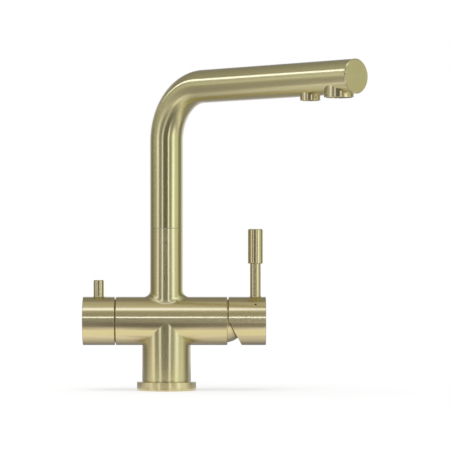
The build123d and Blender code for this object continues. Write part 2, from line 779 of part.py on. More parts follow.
def spout_tube():
    """The bent spout tube, cut through for its two outlets."""
    tube = bent_tube(tube_radius, spout_foot, tube_end) - bent_tube(inner_tube, spout_foot, tube_end)
    for reach, radius in ((main_outlet_reach, main_collar_radius),
                          (filter_outlet_reach, filter_collar_radius)):
        tube -= post(radius + seat_gap, arm_floor - 1, arm_height, reach)
    return parked(tube.solid())


def spout_end_cap():
    """The flat disc that closes the arm."""
    cap = rod(tube_radius, (tube_end, 0, arm_height), (spout_reach, 0, arm_height))
    rim = cap.edges().sort_by(Axis.X)[-1]
    cap = chamfer(rim, end_cap_chamfer)
    plug = inner_tube - seat_gap
    cap += rod(plug, (tube_end - end_cap_spigot, 0, arm_height),
               (tube_end + end_cap_thickness / 2, 0, arm_height))
    cap -= rod(plug - tube_wall, (tube_end - end_cap_spigot - 1, 0, arm_height), (tube_end, 0, arm_height))
    cap -= post(main_collar_radius + end_cap_relief, 0, arm_height + 2 * tube_radius, main_outlet_reach)
    return parked(cap.solid())


def outlet_collar(reach, radius, wall, drop):
    """A short ring saddled into the underside of the arm."""
    collar = post(radius, arm_floor - drop, arm_height, reach)
    collar -= post(radius - wall, arm_floor - drop - 1, arm_height + 1, reach)
    inside = rod(inner_tube, (reach - 2 * radius, 0, arm_height), (reach + 2 * radius, 0, arm_height))
    return parked((collar - inside).solid())


def aerator_housing(reach, radius, drop, roof):
    """The round insert in a collar; its lip frames the grid. A roof closes it round the hose."""
    bottom = arm_floor - drop + aerator_inset
    top = bottom + aerator_height
    profile = [(bottom, radius - aerator_lip), (bottom, radius), (top, radius),
               (top, roof if roof else radius - aerator_lip)]
    if roof:
        profile += [(top - aerator_lip, roof), (top - aerator_lip, radius - aerator_lip)]
    return parked(Pos(reach, 0, 0) * turned("z", *profile))


def aerator_grid(reach, radius, drop):
    """The honeycomb that straightens the water: every cell that fits whole within its rim."""
    bottom = arm_floor - drop + aerator_inset + grid_inset
    disc = post(radius, bottom, bottom + grid_thickness)
    cell = (grid_pitch - grid_web) / 2
    rows = int(radius / grid_pitch) + 2
    cells = Sketch()
    for row in range(-rows, rows + 1):
        for column in range(-rows, rows + 1):
            x = (column + row / 2) * grid_pitch
            y = row * grid_pitch * math.sqrt(3) / 2
            if math.hypot(x, y) < radius - grid_web - grid_pitch / 2:
                cells += Pos(x, y) * RegularPolygon(cell, 6, major_radius=False, rotation=30)
    disc -= extrude(Pos(0, 0, bottom) * cells, grid_thickness)
    return parked(Pos(reach, 0, 0) * disc.solid())


main_housing_radius = main_collar_radius - main_collar_wall - seat_gap
filter_housing_radius = filter_collar_radius - filter_collar_wall - seat_gap


def inner_filter_hose():
    """The slim hose that keeps filtered water apart all the way to its own outlet."""
    foot = spout_foot + hub_head_length - pipe_socket
    end = arm_floor - filter_collar_drop + aerator_inset + aerator_height
    corners = [(0, 0, foot), (0, 0, arm_height), (filter_outlet_reach, 0, arm_height),
               (filter_outlet_reach, 0, end)]
    route = FilletPolyline(*corners, radius=[bend_radius, hose_drop_radius])
    section = Plane((0, 0, foot)) * (Circle(hose_radius) - Circle(hose_bore))
    return parked(sweep(section, path=route).solid())


# ---- Every piece, by name ----------------------------------------------------------------------
pieces = {
    "tap_body": tap_body(),
    "base_flange": base_flange(),
    "base_seal": base_seal(),
    "base_plug": base_plug(),
    "hot_feed_pipe": feed_pipe("hot"),
    "cold_feed_pipe": feed_pipe("cold"),
    "filter_feed_pipe": feed_pipe("filtered"),
    "mixer_seat": mixer_seat(),
    "filter_valve_seat": filter_valve_seat(),
    "mixed_riser_pipe": pipe(riser_offset, 0, riser_foot, riser_top, pipe_radius),
    "filtered_riser_pipe": pipe(-riser_offset, 0, riser_foot, riser_top, filter_riser_radius),
    "cartridge_base": cartridge_base(),
    "cartridge_port_seals": port_seals(),
    "cartridge_housing": cartridge_housing(),
    "fixed_ceramic_disc": fixed_ceramic_disc(),
    "moving_ceramic_disc": moving_ceramic_disc(),
    "disc_carrier": disc_carrier(),
    "cartridge_rotor": cartridge_rotor(),
    "spindle_pin": spindle_pin(),
    "mixer_spindle": mixer_spindle(),
    "cartridge_nut": cartridge_nut(),
    "dome_cover": dome_cover(),
    "mixer_handle_cap": mixer_handle_cap(),
    "mixer_lever_stem": lever_stem(),
    "mixer_lever_grip": lever_grip(),
    "mixer_grub_screw": grub_screw(mixer_grub_x, spindle_width),
    "hot_mark": mark(-1),
    "cold_mark": mark(1),
    "filter_valve_body": filter_valve_body(),
    "filter_valve_nut": filter_valve_nut(),
    "filter_fixed_disc": filter_fixed_disc(),
    "filter_moving_disc": filter_moving_disc(),
    "filter_spindle": filter_spindle(),
    "filter_knob_cap": filter_knob_cap(),
    "filter_knob_pin": filter_knob_pin(),
    "filter_grub_screw": grub_screw(filter_grub_x, filter_square),
    "neck_socket": neck_socket(),
    "spout_hub": spout_hub(),
    "hub_seals": hub_seals(),
    "glide_ring": glide_ring(),
    "spout_retaining_screw": spout_retaining_screw(),
    "spout_tube": spout_tube(),
    "spout_end_cap": spout_end_cap(),
    "inner_filter_hose": inner_filter_hose(),
    "main_outlet_collar": outlet_collar(main_outlet_reach, main_collar_radius, main_collar_wall,
                                        main_collar_drop),
    "main_aerator_housing": aerator_housing(main_outlet_reach, main_housing_radius, main_collar_drop, 0),
    "main_aerator_grid": aerator_grid(main_outlet_reach, main_housing_radius - aerator_lip - seat_gap,
                                      main_collar_drop),
    "filter_outlet_collar": outlet_collar(filter_outlet_reach, filter_collar_radius,
                                          filter_collar_wall, filter_collar_drop),
    "filter_aerator_housing": aerator_housing(filter_outlet_reach, filter_housing_radius,
                                              filter_collar_drop, hose_bore),
    "filter_aerator_grid": aerator_grid(filter_outlet_reach,
                                        filter_housing_radius - aerator_lip - seat_gap,
                                        filter_collar_drop),
}

os.makedirs("parts", exist_ok=True)
for name, shape in pieces.items():
    solids = shape if isinstance(shape, list) else shape.solids()
    solids = [solid for one in solids for solid in one.solids()]
    export_step(solids[0] if len(solids) == 1 else Compound(solids), f"parts/{name}.step")
    print(f"{name}: {len(solids)} solid(s), {sum(solid.volume for solid in solids):.0f} mm3")
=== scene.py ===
# %% [markdown]
# # Three way filtered water tap in brushed brass
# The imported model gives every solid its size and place. This file adds what a model of solids
# can't hold: the brushed finish, the small parts' finishes, a plain studio and a camera.

# %% Load the fixed frame
import math

import bmesh
import bpy
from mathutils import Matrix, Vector


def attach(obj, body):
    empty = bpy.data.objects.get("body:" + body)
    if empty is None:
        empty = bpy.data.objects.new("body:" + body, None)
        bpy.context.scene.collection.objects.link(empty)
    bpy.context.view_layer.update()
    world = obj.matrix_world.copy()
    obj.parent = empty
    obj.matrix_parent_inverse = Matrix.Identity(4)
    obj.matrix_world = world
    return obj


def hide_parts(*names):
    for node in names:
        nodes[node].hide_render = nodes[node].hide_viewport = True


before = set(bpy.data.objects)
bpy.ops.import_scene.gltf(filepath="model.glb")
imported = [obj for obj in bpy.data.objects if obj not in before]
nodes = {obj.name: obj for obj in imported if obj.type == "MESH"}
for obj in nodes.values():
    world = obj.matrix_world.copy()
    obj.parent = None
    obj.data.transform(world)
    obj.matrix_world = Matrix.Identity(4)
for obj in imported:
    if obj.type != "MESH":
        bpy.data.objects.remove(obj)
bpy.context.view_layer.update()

print("pieces in the frame:", len(nodes))


# %% [markdown]
# ## The camera
# A product picture of a tap is taken from far away with a long lens, so that upright lines stay
# upright. The lens stands level with the middle of the neck and is shifted up, not tilted.

# %% Make the camera
MM = 0.001
PHOTO_SIDE = 450              # pixels
FOCAL_PIXELS = 2700.0
CAMERA_X, CAMERA_BACK, CAMERA_HEIGHT = 50.5 * MM, 2333 * MM, 106 * MM
HORIZON_ROW = 267.55          # the pixel row that is level with the lens

lens = bpy.data.cameras.new("camera")
lens.sensor_width = 36.0
lens.lens = FOCAL_PIXELS / PHOTO_SIDE * lens.sensor_width
lens.shift_y = (HORIZON_ROW - PHOTO_SIDE / 2) / PHOTO_SIDE
camera = bpy.data.objects.new("camera", lens)
camera.location = (CAMERA_X, -CAMERA_BACK, CAMERA_HEIGHT)
camera.rotation_euler = (math.radians(90), 0, 0)
bpy.context.scene.collection.objects.link(camera)
bpy.context.scene.camera = camera
bpy.context.scene.view_settings.view_transform = "Standard"
print("lens", round(lens.lens, 1), "mm")


# %% [markdown]
# ## Two helpers for shaders
# A colour is written as the hex code that a designer would use, and turned to linear light once.
# A shader is a small graph, so one function adds a node, sets it and links its inputs.

# %% Colour and node helpers
def linear(code):
    """An sRGB hex code as linear red, green, blue and alpha."""
    parts = [int(code[i:i + 2], 16) / 255 for i in (0, 2, 4)]
    return [c / 12.92 if c <= 0.04045 else ((c + 0.055) / 1.055) ** 2.4 for c in parts] + [1.0]


def add(tree, kind, inputs=None, **settings):
    """Adds a node, applies its settings, and fills its inputs with values or links."""
    made = tree.nodes.new(kind)
    for name, value in settings.items():
        setattr(made, name, value)
    for name, value in (inputs or {}).items():
        if isinstance(value, bpy.types.NodeSocket):
            tree.links.new(value, made.inputs[name])
        else:
            made.inputs[name].default_value = value
    return made


def start_material(name):
    """A new node material: its tree, its shader and its output."""
    material = bpy.data.materials.new(name)
    material.use_nodes = True
    tree = material.node_tree
    tree.nodes.clear()
    shader = add(tree, "ShaderNodeBsdfPrincipled")
    add(tree, "ShaderNodeOutputMaterial", {"Surface": shader.outputs[0]})
    return material, tree, shader


# %% [markdown]
# ## Brushed brass, turned on a lathe
# The body, the caps and the levers are brass under a thin clear coat. They were brushed while
# they turned, so fine scratches run round each part's own axis. A scratched surface spreads a
# reflection across its scratches, never along them: that is why the photograph shows crisp lines
# along every cylinder. An image of scratches could do this only close up, so the shader is made
# anisotropic instead, and its tangent points across the scratches: square to the way round the
# axis, on a cylinder and on its flat end alike.

# %% The direction across the scratches
BRASS = "DED098"              # the metal's colour where it mirrors a white wall


def place_of(tree):
    """Where the shaded point is, in the piece's own metres."""
    return add(tree, "ShaderNodeTexCoord").outputs["Object"]


def vector_math(tree, operation, *values):
    """One step of vector arithmetic on links or plain tuples."""
    inputs = {i: value for i, value in enumerate(values)}
    step = add(tree, "ShaderNodeVectorMath", inputs, operation=operation)
    return step.outputs["Value" if operation in ("DOT_PRODUCT", "LENGTH") else "Vector"]


def number_math(tree, operation, *values):
    """One step of arithmetic on links or plain numbers."""
    inputs = {i: value for i, value in enumerate(values)}
    return add(tree, "ShaderNodeMath", inputs, operation=operation).outputs[0]


def across_turning(tree, place, axis, centre):
    """The direction in the surface that crosses scratches running round an axis."""
    spoke = vector_math(tree, "SUBTRACT", place, centre)
    way_round = vector_math(tree, "CROSS_PRODUCT", axis, spoke)
    in_world = add(tree, "ShaderNodeVectorTransform", {"Vector": way_round},
                   vector_type="VECTOR", convert_from="OBJECT", convert_to="WORLD").outputs[0]
    normal = add(tree, "ShaderNodeNewGeometry").outputs["Normal"]
    return vector_math(tree, "NORMALIZE", vector_math(tree, "CROSS_PRODUCT", normal, in_world))


print("brass mirrors white as", [round(c, 3) for c in linear(BRASS)[:3]])


# %% [markdown]
# The scratches themselves are a few hundredths of a millimetre wide, far under a pixel. Noise
# that is stretched round the axis and tight along it gives faint rings of lighter and darker,
# smoother and rougher metal. They are drawn about half a millimetre wide, as coarse as they need
# to be to show at all.

# %% The brass material
SCRATCH_RING = 0.5 * MM       # width of a visible ring of scratches
BRUSHED_ROUGHNESS = 0.22
RING_TINT, RING_ROUGHNESS = 0.10, 0.05      # how far the rings change colour and roughness
STRETCH = 0.95                # how much wider the reflection is across the scratches
# The tube and the standing cylinders mirror the greener light at the sides, and their brass is
# tinted greener to paint that reflection in.
TUBE_REFLECTION_GREEN, STANDING_REFLECTION_GREEN = 1.055, 1.03       # painted reflection of greener side light


def ring_noise(tree, place, axis, centre):
    """Noise that changes along an axis and outwards from it, and is even all the way round."""
    spoke = vector_math(tree, "SUBTRACT", place, centre)
    along = vector_math(tree, "DOT_PRODUCT", spoke, axis)
    out = vector_math(tree, "LENGTH", vector_math(tree, "CROSS_PRODUCT", spoke, axis))
    where = add(tree, "ShaderNodeCombineXYZ", {"X": along, "Y": out}).outputs[0]
    return add(tree, "ShaderNodeTexNoise",
               {"Vector": where, "Scale": 1 / (2 * SCRATCH_RING), "Detail": 3.0, "Roughness": 0.7},
               noise_dimensions="2D").outputs[0]


def brass_colour(green=1.0):
    """The brass in linear colour. With green above 1 it is greener, a painted reflection of the
    greener light at the sides.
    """
    red, middle, blue = linear(BRASS)[:3]
    return red, middle * green, blue


def finish_brass(tree, shader, tangent, rings, brass=brass_colour()):
    """Sets the coat, the roughness and the faint rings of a brushed brass shader."""
    spread = number_math(tree, "SUBTRACT", rings, 0.5)
    tint = number_math(tree, "MULTIPLY_ADD", spread, RING_TINT, 1.0)
    colour = vector_math(tree, "SCALE", brass)
    tree.links.new(tint, colour.node.inputs["Scale"])
    tree.links.new(colour, shader.inputs["Base Color"])
    rough = number_math(tree, "MULTIPLY_ADD", spread, RING_ROUGHNESS, BRUSHED_ROUGHNESS)
    tree.links.new(rough, shader.inputs["Roughness"])
    tree.links.new(tangent, shader.inputs["Tangent"])
    shader.inputs["Metallic"].default_value = 1.0
    shader.inputs["Anisotropic"].default_value = STRETCH
    shader.inputs["Coat Weight"].default_value = 0.5
    shader.inputs["Coat Roughness"].default_value = 0.1


def turned_brass(name, axis, centre):
    """Brass brushed round one axis, for a piece that was turned about it."""
    material, tree, shader = start_material(name)
    place = place_of(tree)
    tangent = across_turning(tree, place, axis, centre)
    finish_brass(tree, shader, tangent, ring_noise(tree, place, axis, centre))
    return material


def dress(material, *names):
    """Gives CAD nodes one material in every slot."""
    for name in names:
        node = nodes[name]
        for place in node.material_slots:
            place.material = material
        if not node.material_slots:
            node.data.materials.append(material)


AXIS_X, AXIS_Z = (1.0, 0.0, 0.0), (0.0, 0.0, 1.0)
HALF = math.sqrt(0.5)
AXIS_ARM = (HALF, -HALF, 0.0)           # the arm points half to the right, half forwards
SPOUT_TURN = math.radians(-45)          # the same direction as a turn from +X
BAR_HEIGHT = 60 * MM
ARM_HEIGHT = 260.4 * MM
LEVER_LINE, PIN_LINE = 76.8 * MM, -58.55 * MM             # places along the bar
MAIN_OUTLET, FILTER_OUTLET = 142.98 * MM, 120.35 * MM     # to the right, and as far forwards

turned = {
    "neck_line": (AXIS_Z, (0, 0, 0), ["base_flange"]),
    "bar_line": (AXIS_X, (0, 0, BAR_HEIGHT), ["filter_knob_cap", "mixer_handle_cap", "dome_cover"]),
    "lever_line": (AXIS_Z, (LEVER_LINE, 0, 0), ["mixer_lever_stem", "mixer_lever_grip"]),
    "pin_line": (AXIS_Z, (PIN_LINE, 0, 0), ["filter_knob_pin"]),
    "main_outlet_line": (AXIS_Z, (MAIN_OUTLET, -MAIN_OUTLET, 0), ["main_outlet_collar"]),
    "filter_outlet_line": (AXIS_Z, (FILTER_OUTLET, -FILTER_OUTLET, 0), ["filter_outlet_collar"]),
    "arm_line": (AXIS_ARM, (0, 0, ARM_HEIGHT), ["spout_end_cap"]),
}
for line, (axis, centre, names) in turned.items():
    dress(turned_brass("brushed_brass_" + line, axis, centre), *names)
print("turned pieces:", sum(len(names) for _, _, names in turned.values()))


# %% [markdown]
# ## The body
# The body is one casting with three cylinders: the neck and the column stand, the bar lies. Each
# was brushed round its own axis, and the directions meet at the mitre lines. So the body has both
# brushings, and a mask says where the surface belongs to the bar.

# %% The body's two brushings
BAR_RADIUS = 21 * MM
ON_SURFACE = 0.05 * MM        # how close to the bar's radius a point counts as on it
PAST_COLUMN = 1 * MM          # and how far beyond the column all of it is bar


def mix(tree, factor, first, second, kind="FLOAT"):
    """One of two values by a factor from 0 to 1. Floats and vectors have their own sockets."""
    blend = add(tree, "ShaderNodeMix", data_type=kind)
    pair = [s for s in blend.inputs if s.type == {"FLOAT": "VALUE"}.get(kind, kind)][-2:]
    tree.links.new(factor, blend.inputs[0])
    for end, value in zip(pair, (first, second)):
        if isinstance(value, bpy.types.NodeSocket):
            tree.links.new(value, end)
        else:
            end.default_value = value
    return next(s for s in blend.outputs if s.enabled)


def on_the_bar(tree, place):
    """1 where a point of the body lies on the lying cylinder, 0 on the standing ones."""
    spoke = vector_math(tree, "SUBTRACT", place, (0, 0, BAR_HEIGHT))
    out = vector_math(tree, "LENGTH", vector_math(tree, "MULTIPLY", spoke, (0, 1, 1)))
    off = number_math(tree, "ABSOLUTE", number_math(tree, "SUBTRACT", out, BAR_RADIUS))
    shell = number_math(tree, "LESS_THAN", off, ON_SURFACE)
    side = vector_math(tree, "DOT_PRODUCT", vector_math(tree, "ABSOLUTE", spoke), AXIS_X)
    beyond = number_math(tree, "GREATER_THAN", side, BAR_RADIUS + PAST_COLUMN)
    return number_math(tree, "MAXIMUM", shell, beyond)


material, tree, shader = start_material("brushed_brass_body")
place = place_of(tree)
bar = on_the_bar(tree, place)
bar_centre = (0, 0, BAR_HEIGHT)
tangent = mix(tree, bar, across_turning(tree, place, AXIS_Z, (0, 0, 0)),
              across_turning(tree, place, AXIS_X, bar_centre), "VECTOR")
rings = mix(tree, bar, ring_noise(tree, place, AXIS_Z, (0, 0, 0)),
            ring_noise(tree, place, AXIS_X, bar_centre))
# The standing cylinders get a greener brass than the bar: a painted reflection of the greener light
# at the sides.
brass = mix(tree, bar, brass_colour(STANDING_REFLECTION_GREEN), brass_colour(), "VECTOR")
finish_brass(tree, shader, tangent, rings, brass)
dress(material, "tap_body")
print("body material:", len(tree.nodes), "nodes")


# %% [markdown]
# ## The bent spout
# The spout is a tube, brushed before it was bent, so its scratches still run round the tube, and
# the direction across them follows its centre line: up the neck, round the bend, out along the
# arm. A tube bent in one plane has a simple rule for that. In the bend the direction is square
# to the spoke from the bend's centre.

# %% The spout's brushing
BEND_RADIUS = 45 * MM
BEND_CENTRE = (BEND_RADIUS * HALF, -BEND_RADIUS * HALF, ARM_HEIGHT - BEND_RADIUS)

material, tree, shader = start_material("brushed_brass_spout")
place = place_of(tree)
spoke = vector_math(tree, "SUBTRACT", place, BEND_CENTRE)
above = number_math(tree, "MAXIMUM", vector_math(tree, "DOT_PRODUCT", spoke, AXIS_Z), 0.0)
inward = number_math(tree, "MULTIPLY", vector_math(tree, "DOT_PRODUCT", spoke, AXIS_ARM), -1.0)
before = number_math(tree, "MAXIMUM", inward, 0.0)
outwards, upwards = (vector_math(tree, "SCALE", axis) for axis in (AXIS_ARM, AXIS_Z))
tree.links.new(above, outwards.node.inputs["Scale"])
tree.links.new(before, upwards.node.inputs["Scale"])
line = vector_math(tree, "NORMALIZE", vector_math(tree, "ADD", outwards, upwards))
line_world = add(tree, "ShaderNodeVectorTransform", {"Vector": line},
                 vector_type="VECTOR", convert_from="OBJECT", convert_to="WORLD").outputs[0]
turn = number_math(tree, "ARCTAN2", above, before)
run = number_math(tree, "MULTIPLY", turn, BEND_RADIUS)
past = number_math(tree, "MAXIMUM", vector_math(tree, "DOT_PRODUCT", spoke, AXIS_ARM), 0.0)
below = number_math(tree, "MINIMUM", vector_math(tree, "DOT_PRODUCT", spoke, AXIS_Z), 0.0)
length = number_math(tree, "ADD", number_math(tree, "ADD", run, past), below)
where = add(tree, "ShaderNodeCombineXYZ", {"X": length}).outputs[0]
rings = add(tree, "ShaderNodeTexNoise",
            {"Vector": where, "Scale": 1 / (2 * SCRATCH_RING), "Detail": 3.0, "Roughness": 0.7},
            noise_dimensions="2D").outputs[0]
# The tube's brass is tinted greener: a painted reflection of the greener light at the sides.
finish_brass(tree, shader, line_world, rings, brass_colour(TUBE_REFLECTION_GREEN))
dress(material, "spout_tube")
print("spout material:", len(tree.nodes), "nodes")


# %% [markdown]
# ## The small parts
# Most of these sit inside and show only through a gap or from below. Each still gets what it is
# really made of.

# %% Other finishes
def plain_finish(name, code, code_2, metallic, roughness, grain, depth):
    """A finish with a fine grain of two close colours and a shallow bump of the same grain."""
    material, tree, shader = start_material(name)
    speck = add(tree, "ShaderNodeTexNoise",
                {"Vector": place_of(tree), "Scale": 1 / grain, "Detail": 2.0}).outputs[0]
    ramp = add(tree, "ShaderNodeValToRGB", {"Fac": speck})
    ramp.color_ramp.elements[0].color = linear(code)
    ramp.color_ramp.elements[1].color = linear(code_2)
    ramp.color_ramp.elements[0].position, ramp.color_ramp.elements[1].position = 0.35, 0.65
    tree.links.new(ramp.outputs[0], shader.inputs["Base Color"])
    bump = add(tree, "ShaderNodeBump", {"Height": speck, "Distance": depth, "Strength": 0.4})
    tree.links.new(bump.outputs[0], shader.inputs["Normal"])
    shader.inputs["Metallic"].default_value = metallic
    shader.inputs["Roughness"].default_value = roughness
    return material


finishes = {
    "polished_brass": ("turned_polished_brass", "E8D9A8", "E2D29E", 1.0, 0.12, 2.0, 0.002),
    "raw_brass": ("bare_machined_brass", "D9C48A", "CDB67C", 1.0, 0.35, 0.6, 0.01),
    "black_rubber": ("moulded_nitrile_rubber", "1B1B1B", "242424", 0.0, 0.6, 0.4, 0.01),
    "acetal": ("moulded_acetal", "EDEBE4", "E7E4DC", 0.0, 0.4, 0.8, 0.005),
    "grid_plastic": ("moulded_grey_acetal", "DADAD6", "D2D2CE", 0.0, 0.35, 0.8, 0.005),
    "hose_plastic": ("drawn_polyethylene", "E9E9E6", "E0E0DC", 0.0, 0.35, 1.0, 0.01),
    "alumina": ("lapped_alumina", "F2F1EC", "ECEBE5", 0.0, 0.2, 0.3, 0.002),
    "stainless_steel": ("turned_stainless_steel", "C9C8C5", "BFBEBA", 1.0, 0.3, 0.5, 0.003),
    "red_enamel": ("red_enamel_fill", "5C120D", "540F0B", 0.0, 0.25, 0.3, 0.002),
    "blue_enamel": ("blue_enamel_fill", "1C3F8C", "193A84", 0.0, 0.25, 0.3, 0.002),
}
made = {slot: plain_finish(*values[:5], values[5] * MM, values[6] * MM)
        for slot, values in finishes.items()}
for node in nodes.values():
    for place in node.material_slots:
        place.material = made.get(place.material.name, place.material)
print("small finishes:", ", ".join(made))


# %% [markdown]
# ## The honeycombs in the two outlets
# Each outlet ends in a moulded insert that straightens the water through a honeycomb. The cells
# repeat, so they are made by Geometry Nodes: one hexagon is put on every place of a staggered
# grid, the circle round them is filled and the hexagons stay open, and the flat pattern is pulled
# up to its thickness. A round bead frames it. Both outlets use the same nodes with other sizes.

# %% Nodes for a honeycomb insert
def honeycomb_nodes():
    """A node group for a round honeycomb insert, and its inputs' identifiers by name."""
    group = bpy.data.node_groups.new("honeycomb_insert", "GeometryNodeTree")
    group.interface.new_socket("Geometry", in_out="INPUT", socket_type="NodeSocketGeometry")
    inputs = {}
    for name, kind in (("Radius", "Float"), ("Pitch", "Float"), ("Web", "Float"),
                       ("Thickness", "Float"), ("Centre", "Vector"), ("Turn", "Vector"),
                       ("Finish", "Material")):
        socket = group.interface.new_socket(name, in_out="INPUT", socket_type="NodeSocket" + kind)
        inputs[name] = socket.identifier
    group.interface.new_socket("Geometry", in_out="OUTPUT", socket_type="NodeSocketGeometry")
    given = add(group, "NodeGroupInput").outputs
    radius, pitch, web, thick = (given[name] for name in ("Radius", "Pitch", "Web", "Thickness"))

    # Places: a square grid whose odd rows are pushed along by half a cell.
    half_rows = number_math(group, "CEIL", number_math(group, "DIVIDE", radius, pitch))
    rows = number_math(group, "MULTIPLY_ADD", half_rows, 2.0, 3.0)
    steps = number_math(group, "SUBTRACT", rows, 1.0)
    row_pitch = number_math(group, "MULTIPLY", pitch, math.sqrt(3) / 2)
    grid = add(group, "GeometryNodeMeshGrid", {
        "Size X": number_math(group, "MULTIPLY", steps, pitch), "Vertices X": rows,
        "Size Y": number_math(group, "MULTIPLY", steps, row_pitch), "Vertices Y": rows}).outputs[0]
    spot = add(group, "GeometryNodeInputPosition").outputs[0]
    across = vector_math(group, "DOT_PRODUCT", spot, (0, 1, 0))
    row = number_math(group, "DIVIDE", across, row_pitch)
    odd = number_math(group, "PINGPONG", number_math(group, "ROUND", row), 1.0)
    push = add(group, "ShaderNodeCombineXYZ", {
        "X": number_math(group, "MULTIPLY", number_math(group, "MULTIPLY", odd, pitch), 0.5)})
    grid = add(group, "GeometryNodeSetPosition", {"Geometry": grid, "Offset": push.outputs[0]})
    reach = number_math(group, "SUBTRACT", number_math(group, "SUBTRACT", radius, web),
                        number_math(group, "MULTIPLY", pitch, 0.5))
    away = vector_math(group, "LENGTH", spot)
    inside = add(group, "FunctionNodeCompare", {"A": away, "B": reach},
                 data_type="FLOAT", operation="LESS_THAN").outputs[0]

    # Pattern: the circle with a hexagon cut out at every place inside it.
    corner = number_math(group, "DIVIDE", number_math(group, "SUBTRACT", pitch, web), math.sqrt(3))
    hexagon = add(group, "GeometryNodeCurvePrimitiveCircle", {"Resolution": 6, "Radius": corner})
    cells = add(group, "GeometryNodeInstanceOnPoints", {
        "Points": grid.outputs[0], "Selection": inside, "Instance": hexagon.outputs[0],
        "Rotation": (0, 0, math.radians(30))})
    edge = add(group, "GeometryNodeCurvePrimitiveCircle", {"Resolution": 96, "Radius": radius})
    flat = add(group, "GeometryNodeJoinGeometry", {"Geometry": cells.outputs[0]})
    group.links.new(edge.outputs[0], flat.inputs[0])
    loose = add(group, "GeometryNodeRealizeInstances", {"Geometry": flat.outputs[0]})
    sheet = add(group, "GeometryNodeFillCurve", {"Curve": loose.outputs[0]}).outputs[0]
    lift = add(group, "ShaderNodeCombineXYZ", {"Z": thick}).outputs[0]
    pulled = add(group, "GeometryNodeExtrudeMesh", {"Mesh": sheet, "Offset": lift,
                                                    "Offset Scale": 1.0, "Individual": False})
    under = add(group, "GeometryNodeFlipFaces", {"Mesh": sheet})

    # Bead: a round section swept round the pattern's edge.
    bead_radius = number_math(group, "MULTIPLY", web, 0.9)
    line = add(group, "GeometryNodeCurvePrimitiveCircle", {
        "Resolution": 96, "Radius": number_math(group, "SUBTRACT", radius, bead_radius)})
    section = add(group, "GeometryNodeCurvePrimitiveCircle",
                  {"Resolution": 12, "Radius": bead_radius})
    bead = add(group, "GeometryNodeCurveToMesh", {"Curve": line.outputs[0],
                                                  "Profile Curve": section.outputs[0]})
    smooth_bead = add(group, "GeometryNodeSetShadeSmooth", {"Geometry": bead.outputs[0]})
    raised = add(group, "GeometryNodeTransform", {
        "Geometry": smooth_bead.outputs[0],
        "Translation": add(group, "ShaderNodeCombineXYZ", {"Z": bead_radius}).outputs[0]})

    whole = add(group, "GeometryNodeJoinGeometry", {"Geometry": raised.outputs[0]})
    for part in (under, pulled):
        group.links.new(part.outputs[0], whole.inputs[0])
    placed = add(group, "GeometryNodeTransform", {"Geometry": whole.outputs[0],
                                                  "Translation": given["Centre"],
                                                  "Rotation": given["Turn"]})
    real = add(group, "GeometryNodeRealizeInstances", {"Geometry": placed.outputs[0]})
    welded = add(group, "GeometryNodeMergeByDistance", {"Geometry": real.outputs[0],
                                                        "Distance": 0.001 * MM})
    done = add(group, "GeometryNodeSetMaterial", {"Geometry": welded.outputs[0],
                                                  "Material": given["Finish"]})
    add(group, "NodeGroupOutput", {"Geometry": done.outputs[0]})
    return group, inputs


# %% Make the two honeycomb inserts
CELL_PITCH, CELL_WEB, INSERT_THICKNESS = 2.3 * MM, 0.45 * MM, 1.6 * MM
# Each insert's radius, and the middle of its underside.
inserts = {
    "main_aerator_grid": (9.2 * MM, (MAIN_OUTLET, -MAIN_OUTLET, 245.0 * MM)),
    "filter_aerator_grid": (5.6 * MM, (FILTER_OUTLET, -FILTER_OUTLET, 243.85 * MM)),
}
honeycomb, honeycomb_inputs = honeycomb_nodes()
for node_name, (radius, centre) in inserts.items():
    mesh = bpy.data.meshes.new(node_name + "_start")
    start = bpy.data.objects.new(node_name + "_start", mesh)
    bpy.context.scene.collection.objects.link(start)
    modifier = start.modifiers.new("honeycomb", "NODES")
    modifier.node_group = honeycomb
    values = {"Radius": radius, "Pitch": CELL_PITCH, "Web": CELL_WEB,
              "Thickness": INSERT_THICKNESS, "Centre": centre,
              "Turn": (0.0, 0.0, SPOUT_TURN), "Finish": made["grid_plastic"]}
    for name, value in values.items():
        modifier[honeycomb_inputs[name]] = value
    bpy.context.view_layer.update()
    seen_by_nodes = start.evaluated_get(bpy.context.evaluated_depsgraph_get())
    mesh = bpy.data.meshes.new_from_object(seen_by_nodes)
    piece = bpy.data.objects.new(node_name.replace("_grid", "_honeycomb"), mesh)
    bpy.context.scene.collection.objects.link(piece)
    bpy.data.objects.remove(start)
    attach(piece, "spout")
    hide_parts(node_name)
    low = [round(min(v.co[i] for v in mesh.vertices) / MM, 2) for i in range(3)]
    high = [round(max(v.co[i] for v in mesh.vertices) / MM, 2) for i in range(3)]
    print(piece.name, len(mesh.polygons), "faces, mm", low, high)


# %% [markdown]
# ## The studio
# Metal has no look of its own: it shows the room. Round this tap stands a light tent of grey
# cloth with white panels sewn in. The panels' places come from the photograph, because each
# bright line on a cylinder says where its panel stands: a line 30 degrees round the cylinder
# mirrors a panel 60 degrees round the room. The tent is made as a dome whose material reads the
# direction from the dome's middle. Only reflections see it, so it hides nothing.

# %% The light tent's panels
TENT_RADIUS = 2.0
TENT_MIDDLE = (0.0, 0.0, 0.12)

# Round the tap, in degrees from the camera towards the right: how bright the cloth is there.
ROUND = [(-180, 0.90), (-150, 0.55), (-114, 0.38), (-101, 0.60), (-90, 0.70),
         (-80, 0.84), (-72, 0.98), (-67, 1.70), (-58, 1.70), (-53, 0.66), (-47, 0.38),
         (-35, 0.38), (-30.5, 1.30), (-25.5, 1.30), (-21, 0.22), (-12, 0.17), (4, 0.16),
         (9, 0.30), (12.5, 1.40), (17.5, 1.40), (22, 0.30), (29, 0.38), (38, 0.70), (45, 1.45),
         (54, 1.45), (62, 0.78), (84, 0.66), (98, 0.42), (108, 0.18), (118, 0.30), (140, 0.80),
         (180, 0.90)]
